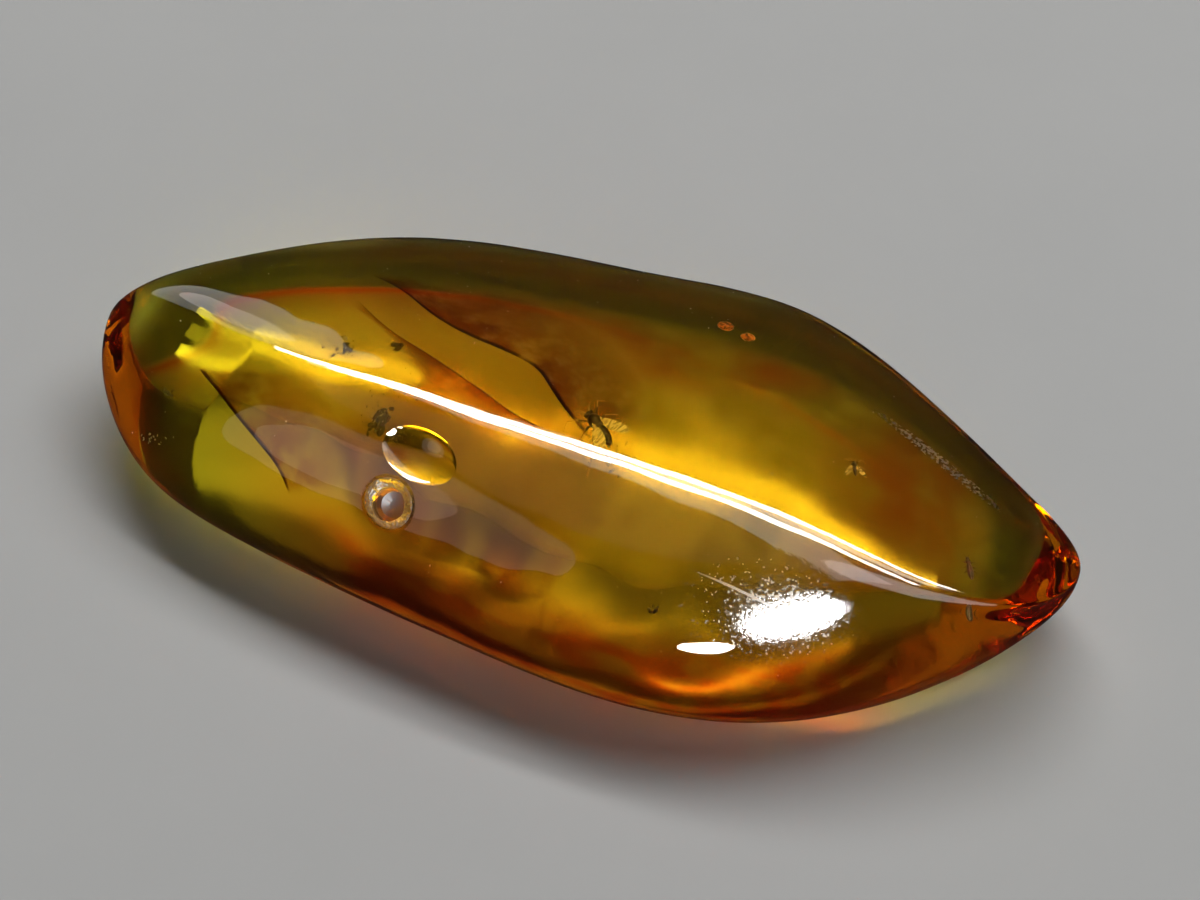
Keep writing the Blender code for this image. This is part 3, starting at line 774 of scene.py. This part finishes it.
class AMBER_OT_make_stone(bpy.types.Operator):
    """Make the clear amber stone with its dimple, pit and ground base"""
    bl_idname = "amber.make_stone"
    bl_label = "Amber Stone"

    def execute(self, context):
        settings = context.scene.amber_stone
        bm = stone_form(settings.base_waviness / MM)
        lows, highs = zip(node_box("amber_lower"), node_box("amber_upper"))
        fit_inside(bm, [min(pair) for pair in zip(*lows)], [max(pair) for pair in zip(*highs)])
        stone = add_piece("amber_stone", bm, [amber_material(settings)], smooth_angle=None,
                          replaces=("amber_upper", "amber_lower"))
        cutters = [add_object("dimple", ellipsoid(DIMPLE_SEMI_AXES, DIMPLE_AT, DIMPLE_TURN, fine=6)),
                   add_object("pit", pit_form())]
        for cutter in cutters:
            cut = stone.modifiers.new(cutter.name, "BOOLEAN")
            cut.operation = "DIFFERENCE"
            cut.solver = "EXACT"
            cut.object = cutter
        context.view_layer.update()
        shaped = bpy.data.meshes.new_from_object(stone.evaluated_get(context.evaluated_depsgraph_get()))
        stone.modifiers.clear()
        plain = stone.data
        stone.data = shaped
        bpy.data.meshes.remove(plain)
        shaped.name = "amber_stone"
        for cutter in cutters:
            bpy.data.objects.remove(cutter)
        shaped.shade_smooth()
        sharpen_base(shaped)
        return {"FINISHED"}


# ---- insects ----

def settled(parts, at, heading, scale):
    """Join an animal of unit length, scale it, turn it to its heading and set it in the stone."""
    bm = joined(parts)
    place = (Matrix.Translation((at[0], at[1], MIDDLE_Z)) @ Matrix.Rotation(math.radians(heading), 4, "Z")
             @ Matrix.Scale(scale, 4))
    bmesh.ops.transform(bm, matrix=place, verts=bm.verts)
    return bm


def wing_parts(side, sweep, skin, vein):
    """A thin oval wing with raised veins, from its root on the thorax."""
    length, width, thickness = 0.78, 0.24, 0.012
    bm = bmesh.new()
    bmesh.ops.create_circle(bm, segments=40, radius=0.5, cap_ends=True)
    bmesh.ops.scale(bm, vec=(length, width, 1), verts=bm.verts)
    for v in bm.verts:
        v.co.y *= 0.62 + 0.38 * min(1.0, max(0.0, 0.5 - v.co.x / length) * 1.6)
    bmesh.ops.translate(bm, vec=(-length * 0.45, 0, 0), verts=bm.verts)
    grown = bmesh.ops.extrude_face_region(bm, geom=bm.faces[:])
    tops = [g for g in grown["geom"] if isinstance(g, bmesh.types.BMVert)]
    bmesh.ops.translate(bm, vec=(0, 0, thickness), verts=tops)
    shapes = [(bm, skin)]
    for spread, reach in ((0.44, 0.92), (0.26, 0.97), (0.05, 0.99), (-0.18, 0.95), (-0.36, 0.80)):
        line = ((-0.02, 0, 0.010), (-length * reach * 0.4, width * spread * 0.8 * side, 0.012),
                (-length * reach * 0.82, width * spread * side, 0.010))
        shapes.append((tube(line, 0.007, 0.004, sides=5), vein))
    for reach in (0.38, 0.60):
        line = ((-length * reach, width * 0.30, 0.012), (-length * (reach + 0.03), width * -0.28, 0.012))
        shapes.append((tube(line, 0.004, 0.004, sides=5, steps=2), vein))
    turn = Matrix.Rotation(math.radians(sweep), 3, "Z")
    for shape, _ in shapes:
        bmesh.ops.rotate(shape, verts=shape.verts, matrix=turn)
        bmesh.ops.translate(shape, vec=(0.12, side * 0.07, 0.13), verts=shape.verts)
    return shapes


def fly_parts(leg_spread, wing_sweeps):
    """A small fly of unit length along +X. Materials: 0 body, 1 legs, 2 wing skin."""
    parts = []
    spine = [(-0.50, 0, 0.03), (-0.42, 0, 0.025), (-0.32, 0, 0.015), (-0.22, 0, 0.0), (-0.12, 0, -0.005),
             (-0.02, 0, 0.0), (0.06, 0, 0.02)]
    girth = (0.020, 0.055, 0.080, 0.098, 0.100, 0.085, 0.055)
    path, radii = [], []
    for i in range(len(spine) - 1):
        a, b = Vector(spine[i]), Vector(spine[i + 1])
        for k, swell in enumerate((0.90, 1.06, 1.06)):
            t = (0.0, 0.25, 0.85)[k]
            path.append(a.lerp(b, t))
            radii.append(blend(girth[i], girth[i + 1], t) * swell)
    parts.append((limb(path, radii, sides=18), 0))
    parts.append((ellipsoid((0.19, 0.135, 0.145), (0.17, 0, 0.05)), 0))
    parts.append((ellipsoid((0.075, 0.095, 0.05), (0.02, 0, 0.115), (0, 0.3, 0), fine=2), 0))
    parts.append((ellipsoid((0.085, 0.085, 0.085), (0.385, 0, 0.0)), 0))
    parts.append((tube(((0.42, 0, -0.05), (0.45, 0, -0.11), (0.43, 0, -0.15)), 0.018, 0.010), 1))
    for side in (-1, 1):
        parts.append((ellipsoid((0.055, 0.045, 0.065), (0.41, side * 0.062, 0.012)), 0))
        parts += wing_parts(side, wing_sweeps[side > 0], 2, 1)
        parts.append((tube(((0.02, side * 0.10, 0.07), (-0.03, side * 0.16, 0.09)), 0.008, 0.016), 1))
        for hip, reach in ((0.26, 0.16), (0.17, -0.02), (0.08, -0.22)):
            start = Vector((hip, side * 0.06, -0.04))
            knee = Vector((hip + reach, side * (0.24 + leg_spread), 0.03))
            ankle = Vector((hip + reach * 2.2, side * (0.38 + leg_spread), -0.12))
            toe = Vector((hip + reach * 2.2 - 0.10, side * (0.50 + leg_spread), -0.14))
            thigh = start.lerp(knee, 0.5) + Vector((0, 0, 0.012))
            parts.append((tube((start, thigh, knee), 0.026, 0.017), 0))
            parts.append((tube((knee, knee.lerp(ankle, 0.5), ankle), 0.015, 0.011), 1))
            for k in range(4):
                a, b = ankle.lerp(toe, k / 4), ankle.lerp(toe, (k + 0.9) / 4)
                parts.append((tube((a, b), 0.009, 0.012, sides=6, steps=1), 1))
        feeler = ((0.43, side * 0.04, 0.04), (0.54, side * 0.10, 0.09), (0.62, side * 0.20, 0.08))
        for k, bead in enumerate(smooth_path(feeler, 5)):
            parts.append((ellipsoid((0.020 - k * 0.0008,) * 3, bead, fine=1), 1))
    return parts


def beetle_parts():
    """A slender beetle of unit length along +X. Materials: 0 wing cases, 1 legs."""
    parts = []
    for side in (-1, 1):
        case = ellipsoid((0.345, 0.120, 0.095), (-0.12, 0, 0.0), fine=4)
        bmesh.ops.bisect_plane(case, geom=case.verts[:] + case.edges[:] + case.faces[:], plane_co=(0, 0, 0),
                               plane_no=(0, side, 0), dist=1e-6, clear_inner=True)
        bmesh.ops.contextual_create(case, geom=[e for e in case.edges if e.is_boundary])
        bmesh.ops.translate(case, vec=(0, side * 0.004, 0), verts=case.verts)
        for v in case.verts:
            if v.co.z > 0.01:
                v.co.z += 0.006 * math.cos(v.co.y * 2 * math.pi / 0.030)
        parts.append((case, 0))
    parts.append((ellipsoid((0.115, 0.100, 0.085), (0.25, 0, 0.0)), 0))
    parts.append((ellipsoid((0.022, 0.016, 0.010), (0.16, 0, 0.080), fine=2), 0))
    parts.append((ellipsoid((0.085, 0.068, 0.060), (0.40, 0, -0.01)), 0))
    for side in (-1, 1):
        parts.append((ellipsoid((0.022, 0.018, 0.024), (0.42, side * 0.056, 0.008), fine=2), 1))
        parts.append((tube(((0.46, side * 0.03, -0.02), (0.50, side * 0.015, -0.02)), 0.014, 0.006), 1))
        for hip, reach in ((0.22, 0.09), (0.06, -0.02), (-0.08, -0.10)):
            start = Vector((hip, side * 0.06, -0.04))
            knee = Vector((hip + reach * 0.5, side * 0.17, -0.05))
            toe = Vector((hip + reach, side * 0.27, -0.10))
            thigh = start.lerp(knee, 0.6) + Vector((0, 0, 0.01))
            parts.append((tube((start, thigh, knee), 0.026, 0.018), 0))
            parts.append((tube((knee, toe), 0.016, 0.010), 1))
        feeler = ((0.45, side * 0.03, 0.0), (0.51, side * 0.06, 0.015), (0.57, side * 0.10, 0.02))
        for k, bead in enumerate(smooth_path(feeler, 5)):
            parts.append((ellipsoid((0.013 + (k > 7) * 0.004,) * 3, bead, fine=1), 1))
    return parts


class AMBER_OT_make_insects(bpy.types.Operator):
    """Make the gnat, the midge and the beetle"""
    bl_idname = "amber.make_insects"
    bl_label = "Insects"

    def execute(self, context):
        settings = context.scene.amber_insects
        body = chitin_material("insect_body", settings.body_color, 0.42, 0.5, 3200)
        legs = chitin_material("insect_legs", settings.leg_color, 0.50, 0.35, 2600)
        skin = wing_material(settings.wing_color)
        case = chitin_material("beetle_case", settings.beetle_color, 0.30, 0.6, 2400)
        fly = (body, legs, skin)
        for name, parts, at, heading, size, materials, slot in (
                ("gnat", fly_parts(0.0, (24, -14)), GNAT_AT, GNAT_HEADING, GNAT_BODY, fly, "insect"),
                ("midge", fly_parts(-0.04, (30, -30)), MIDGE_AT, MIDGE_HEADING, MIDGE_BODY, fly, "insect"),
                ("beetle", beetle_parts(), BEETLE_AT, BEETLE_HEADING, BEETLE_BODY, (case, body), "beetle")):
            bm = settled(parts, at, heading, size)
            fit_inside(bm, *node_box(name))
            add_piece(f"{name}_body", bm, materials, 40, (name,))
        return {"FINISHED"}


# ---- bark, seams, bubbles and specks ----

def crumb(rng, size, at, fine=2):
    """A rough grain: a ball with its points pushed in and out, flattened and turned at random."""
    bm = bmesh.new()
    bmesh.ops.create_icosphere(bm, subdivisions=fine, radius=0.5)
    shift = Vector(rng.uniform(-9, 9, 3))
    for v in bm.verts:
        v.co *= 1.0 + 0.55 * noise.noise(v.co * 3.2 + shift) + 0.10 * rng.uniform(-1, 1)
    sizes = (size, size * rng.uniform(0.35, 0.8), size * rng.uniform(0.3, 0.6))
    bmesh.ops.scale(bm, vec=sizes, verts=bm.verts)
    bmesh.ops.rotate(bm, verts=bm.verts, matrix=Euler(rng.uniform(-3, 3, 3)).to_matrix())
    bmesh.ops.translate(bm, vec=at, verts=bm.verts)
    return bm


def crumb_cluster(low, high, count, seed):
    """Crumbs of falling size, spread through the box of the node that they stand for."""
    rng = np.random.default_rng(seed)
    middle, half = (low + high) / 2, (high - low) / 2
    parts = []
    for i in range(count):
        size = max(0.09, (high - low).length * (0.55 if i == 0 else 0.34 * rng.uniform(0.25, 1.0)))
        spread = 0.15 if i == 0 else 0.85
        at = middle + Vector(half[k] * spread * rng.uniform(-1, 1) for k in range(3))
        parts.append((crumb(rng, size, at), 0))
    bm = joined(parts)
    fit_inside(bm, low, high)
    return bm


class AMBER_OT_make_crumbs(bpy.types.Operator):
    """Make the clusters of bark crumbs"""
    bl_idname = "amber.make_crumbs"
    bl_label = "Bark Crumbs"

    def execute(self, context):
        bark = bark_material(context.scene.amber_inclusions.bark_color)
        for name, (node, count, seed) in CRUMB_CLUSTERS.items():
            bm = crumb_cluster(*node_box(node), count, seed)
            add_piece(name, bm, [bark], 50, (node,))
        return {"FINISHED"}


def ruled(edges, along, across):
    """Points of the straight-ruled surface: along from 0 to 1, across from sharp to fading edge."""
    sharp, fading = [np.stack([natural_curve(values, along) for values in zip(*edge)], axis=1)
                     for edge in edges]
    return sharp + (fading - sharp) * across[:, None]


def seam_form(edges, thickness):
    """A thin closed film between its two edges. UV runs along the film, then from sharp to fading edge."""
    bm = bmesh.new()
    uv = bm.loops.layers.uv.new("UVMap")
    bmesh.ops.create_grid(bm, x_segments=70, y_segments=16, size=0.5)
    along = np.array([v.co.x + 0.5 for v in bm.verts])
    across = np.array([v.co.y + 0.5 for v in bm.verts])
    middle = ruled(edges, along, across)
    ahead, aside = ruled(edges, along + 0.01, across), ruled(edges, along, across + 0.01)
    normal = np.cross(ahead - middle, aside - middle)
    normal /= np.linalg.norm(normal, axis=1)[:, None]
    for v, point, direction, w in zip(bm.verts, middle, normal, across):
        v.co = point + direction * SEAM_RIPPLE * w * noise.noise(Vector(point) * 0.55)
    for face in bm.faces:
        for loop in face.loops:
            loop[uv].uv = (along[loop.vert.index], across[loop.vert.index])
    bmesh.ops.recalc_face_normals(bm, faces=bm.faces)
    bmesh.ops.solidify(bm, geom=bm.faces[:], thickness=thickness)
    bmesh.ops.recalc_face_normals(bm, faces=bm.faces)
    return bm


class AMBER_OT_make_seams(bpy.types.Operator):
    """Make the reddish flow seams"""
    bl_idname = "amber.make_seams"
    bl_label = "Flow Seams"

    def execute(self, context):
        settings = context.scene.amber_inclusions
        film = seam_material(settings.seam_color)
        for name, (node, *edges) in SEAMS.items():
            add_piece(name, seam_form(edges, settings.seam_thickness / MM), [film], None, [node])
        return {"FINISHED"}


class AMBER_OT_make_bubbles(bpy.types.Operator):
    """Make the two small bubbles"""
    bl_idname = "amber.make_bubbles"
    bl_label = "Bubbles"

    def execute(self, context):
        film = bubble_material(context.scene.amber_inclusions.bubble_color)
        parts = []
        for *at, radius in BUBBLES:
            bm = ellipsoid((radius, radius, radius), at, fine=4)
            for v in bm.verts:
                v.co += (v.co - Vector(at)) * 0.10 * noise.noise(v.co * 6.0)
            parts.append((bm, 0))
        add_piece("bubbles", joined(parts), [film], 60)
        return {"FINISHED"}


def surface_spots(rng, count, top):
    """Places on the upper side of the stone below the top, each with its normal, in millimetres."""
    stone = bpy.data.objects["amber_stone"]
    spots = []
    while len(spots) < count:
        x, y = rng.uniform(-25, 25), rng.uniform(-14, 14)
        hit, point, normal, _ = stone.ray_cast(Vector((x, y, 30)) * MM, Vector((0, 0, -1)))
        if hit and point.z / MM < top:
            spots.append((point / MM, normal))
    return spots


class AMBER_OT_make_specks(bpy.types.Operator):
    """Make the fine dust in the amber and on its polish"""
    bl_idname = "amber.make_specks"
    bl_label = "Specks"

    def execute(self, context):
        rng = np.random.default_rng(11)
        inside = []
        for middle, spread, count, size in SPECK_CLOUDS:
            for _ in range(count):
                at = [c + reach * rng.normal() * 0.5 for c, reach in zip(middle, spread)]
                inside.append((crumb(rng, size * rng.uniform(0.5, 1.4), at, fine=1), 0))
        add_piece("inner_specks", joined(inside), [haze_material(SPECK_COLOR)], 50)
        on_top = []
        top = CAD_BOX[1][2] / MM - 0.2
        for point, normal in surface_spots(rng, context.scene.amber_inclusions.dust_count, top):
            size = DUST_SIZE[0] + DUST_SIZE[1] * rng.random() ** 3
            on_top.append((crumb(rng, size, point + normal * size * 0.1, fine=1), 0))
        add_piece("surface_dust", joined(on_top), [dust_material()], 50)
        return {"FINISHED"}


# ---- stage ----

def view_axes(azimuth):
    """Right and forward of the camera, level with the floor."""
    right = Vector((math.cos(azimuth), math.sin(azimuth), 0))
    return right, Vector((-right.y, right.x, 0))


def sky_point(axes, turn, side, distance):
    """A place above the stone: turn goes from the horizon behind it (0) over the top (90) to the camera."""
    right, forward = axes
    turn, side = math.radians(turn), math.radians(side)
    level = math.cos(side) * distance
    return (right * math.sin(side) * distance + forward * level * math.cos(turn)
            + Vector((0, 0, level * math.sin(turn))))


def add_panel(axes, row, power, shape="RECTANGLE"):
    """A flat light at the row's place in the sky, turned to the stone."""
    name, turn, side, distance, width, height = row
    light = bpy.data.lights.new(name, "AREA")
    light.shape = shape
    light.size = width
    light.size_y = height
    light.energy = power
    lamp = bpy.data.objects.new(name, light)
    bpy.context.scene.collection.objects.link(lamp)
    lamp.location = sky_point(axes, turn, side, distance)
    lamp.rotation_euler = (Vector(LIGHTS_AIM) * MM - lamp.location).to_track_quat("-Z", "Y").to_euler()
    return lamp


def add_floor(color):
    """A wide floor just under the base, which the polish doesn't mirror."""
    bm = bmesh.new()
    bmesh.ops.create_grid(bm, x_segments=1, y_segments=1, size=FLOOR_HALF_SIZE)
    bmesh.ops.translate(bm, vec=(0, 0, -FLOOR_GAP), verts=bm.verts)
    floor = add_object("floor", bm, [floor_material(color)])
    floor.visible_glossy = False


def add_lights(axes):
    """The room's lights, the sheens on the polish and the low lights behind the stone."""
    for *row, power in ROOM_LIGHTS:
        lamp = add_panel(axes, row, power)
        lamp.visible_diffuse = lamp.name != "bulb"
    for *row, brightness in SHEENS:
        shape = "RECTANGLE" if row[4] > 1 else "ELLIPSE"
        lamp = add_panel(axes, row, brightness * math.pi * row[4] * row[5], shape)
        lamp.visible_diffuse = False
        lamp.visible_transmission = False
    for *row, brightness in LOW_LIGHTS:
        lamp = add_panel(axes, row, brightness * math.pi * row[4] * row[5])
        lamp.visible_glossy = False


def add_camera(settings):
    """A camera that looks down at the stone."""
    level = math.cos(settings.elevation)
    back = Vector((math.sin(settings.azimuth) * level, -math.cos(settings.azimuth) * level,
                   math.sin(settings.elevation)))
    camera = bpy.data.cameras.new("camera")
    camera.sensor_width = 36
    camera.lens = settings.lens
    camera.clip_start = 0.001
    eye = bpy.data.objects.new("camera", camera)
    bpy.context.scene.collection.objects.link(eye)
    eye.location = Vector(CAMERA_AIM) * MM + back * settings.distance
    eye.rotation_euler = back.to_track_quat("Z", "Y").to_euler()
    bpy.context.scene.camera = eye


class AMBER_OT_set_stage(bpy.types.Operator):
    """Set the floor, the lights and the camera"""
    bl_idname = "amber.set_stage"
    bl_label = "Stage"

    def execute(self, context):
        settings = context.scene.amber_stage
        add_floor(settings.floor_color)
        add_lights(view_axes(settings.azimuth))
        add_camera(settings)

        world = bpy.data.worlds.new("room")
        world.use_nodes = True
        backdrop = world.node_tree.nodes["Background"]
        backdrop.inputs["Color"].default_value = (ROOM_GREY, ROOM_GREY, ROOM_GREY, 1)
        context.scene.world = world

        context.scene.view_settings.view_transform = "Standard"
        cycles = context.scene.cycles
        cycles.max_bounces = 20
        cycles.transmission_bounces = 20
        cycles.glossy_bounces = 12
        cycles.diffuse_bounces = 4
        cycles.transparent_max_bounces = 32
        cycles.volume_bounces = 0
        cycles.sample_clamp_indirect = 0.0
        cycles.blur_glossy = 0.3
        cycles.use_denoising = True
        return {"FINISHED"}


class AMBER_PT_panel(bpy.types.Panel):
    """Lists the steps and their settings"""
    bl_idname = "AMBER_PT_panel"
    bl_label = "Insect in Amber"
    bl_space_type = "VIEW_3D"
    bl_region_type = "UI"
    bl_category = "Amber"

    def draw(self, context):
        layout = self.layout
        for step in STEPS:
            layout.operator(step.bl_idname)
        for holder in SETTINGS:
            group = getattr(context.scene, holder)
            box = layout.box()
            for name in group.bl_rna.properties.keys():
                if name not in ("rna_type", "name"):
                    box.prop(group, name)


STEPS = (AMBER_OT_make_stone, AMBER_OT_make_insects, AMBER_OT_make_crumbs, AMBER_OT_make_seams,
         AMBER_OT_make_bubbles, AMBER_OT_make_specks, AMBER_OT_set_stage)
SETTINGS = {"amber_stone": StoneSettings, "amber_insects": InsectSettings,
            "amber_inclusions": InclusionSettings, "amber_stage": StageSettings}
CLASSES = (*SETTINGS.values(), *STEPS, AMBER_PT_panel)


def register():
    for cls in CLASSES:
        bpy.utils.register_class(cls)
    for holder, group in SETTINGS.items():
        setattr(bpy.types.Scene, holder, bpy.props.PointerProperty(type=group))


def unregister():
    for holder in SETTINGS:
        delattr(bpy.types.Scene, holder)
    for cls in reversed(CLASSES):
        bpy.utils.unregister_class(cls)


def main():
    register()
    bpy.ops.amber.make_stone()
    bpy.ops.amber.make_insects()
    bpy.ops.amber.make_crumbs()
    bpy.ops.amber.make_seams()
    bpy.ops.amber.make_bubbles()
    bpy.ops.amber.make_specks()
    bpy.ops.amber.set_stage()


if __name__ == "__main__":
    main()
